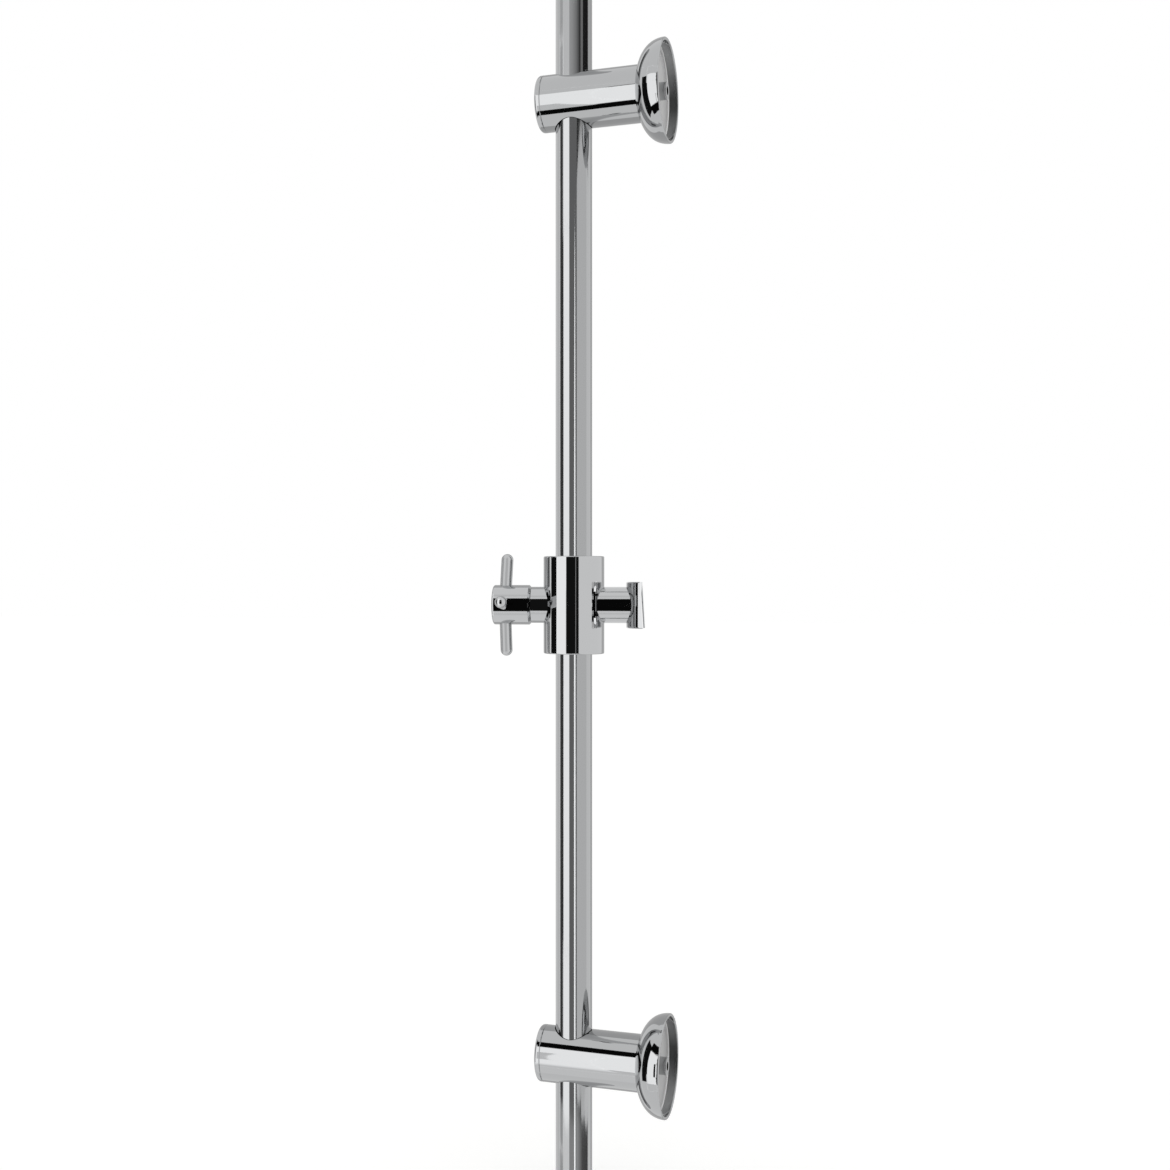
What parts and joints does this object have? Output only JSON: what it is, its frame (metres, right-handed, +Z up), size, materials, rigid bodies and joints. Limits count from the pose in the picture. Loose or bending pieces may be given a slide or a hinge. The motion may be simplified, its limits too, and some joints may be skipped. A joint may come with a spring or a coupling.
{
  "type": "shower column riser rail",
  "caption": "Chrome shower riser rail: an upright tube on bell-shaped wall brackets, with a slider that a cross handle clamps and a tilting cradle for a handset.",
  "frame": {"origin": "mouth of the lower bracket's tapped wall fixing, on the bracket's axis", "axes": "+Z up the tube, +Y from the tube to the wall, +X to the right of a person who faces the wall"},
  "size_m": [0.0679, 0.1079, 0.748],
  "materials": {
    "polished_chrome": "mirror-polished chrome plate on brass",
    "tube_chrome": "bright chrome plate on drawn brass tube",
    "natural_nylon": "natural nylon",
    "black_nylon": "black nylon",
    "screw_steel": "plain stainless steel"
  },
  "bodies": {
    "rail": {"riser_tube": "tube_chrome", "lower_bell": "polished_chrome", "lower_arm": "polished_chrome", "lower_end_cap": "polished_chrome", "lower_clamp_pad": "natural_nylon", "lower_grub_screw": "screw_steel", "upper_bell": "polished_chrome", "upper_arm": "polished_chrome", "upper_end_cap": "polished_chrome", "upper_clamp_pad": "natural_nylon", "upper_grub_screw": "screw_steel"},
    "carriage": {"lower_guide_bush": "black_nylon", "upper_guide_bush": "black_nylon"},
    "slider": {"slider_body": "polished_chrome", "retaining_clip": "polished_chrome"},
    "shoe": {"clamp_shoe": "natural_nylon"},
    "handle": {"handle_hub": "polished_chrome", "handle_pin_1": "polished_chrome", "handle_pin_2": "polished_chrome", "handle_pin_3": "polished_chrome", "handle_pin_4": "polished_chrome", "clamp_screw": "screw_steel"},
    "cradle": {"holder": "polished_chrome", "friction_washer": "black_nylon"}
  },
  "joints": [
    {"name": "slider_height", "type": "slide", "parent": "rail", "child": "carriage", "axis": [0, 0, 1], "range_m": [-0.209, 0.241]},
    {"name": "slider_swivel", "type": "hinge", "parent": "carriage", "child": "slider", "pos_m": [0, -0.0571, 0.274], "axis": [0, 0, 1], "continuous": true},
    {"name": "clamp_travel", "type": "slide", "parent": "slider", "child": "shoe", "axis": [0.1582, -0.9874, 0], "range_m": [0, 0.0015]},
    {"name": "handle_turn", "type": "hinge", "parent": "shoe", "child": "handle", "pos_m": [0, -0.0571, 0.274], "axis": [0.1582, -0.9874, 0], "range_deg": [0, 360]},
    {"name": "holder_tilt", "type": "hinge", "parent": "slider", "child": "cradle", "pos_m": [0, -0.0571, 0.274], "axis": [-0.1582, 0.9874, 0], "continuous": true}
  ],
  "couplings": [
    {"joint": "handle_turn", "follows": "clamp_travel", "rad_per_m": 4188.7}
  ]
}
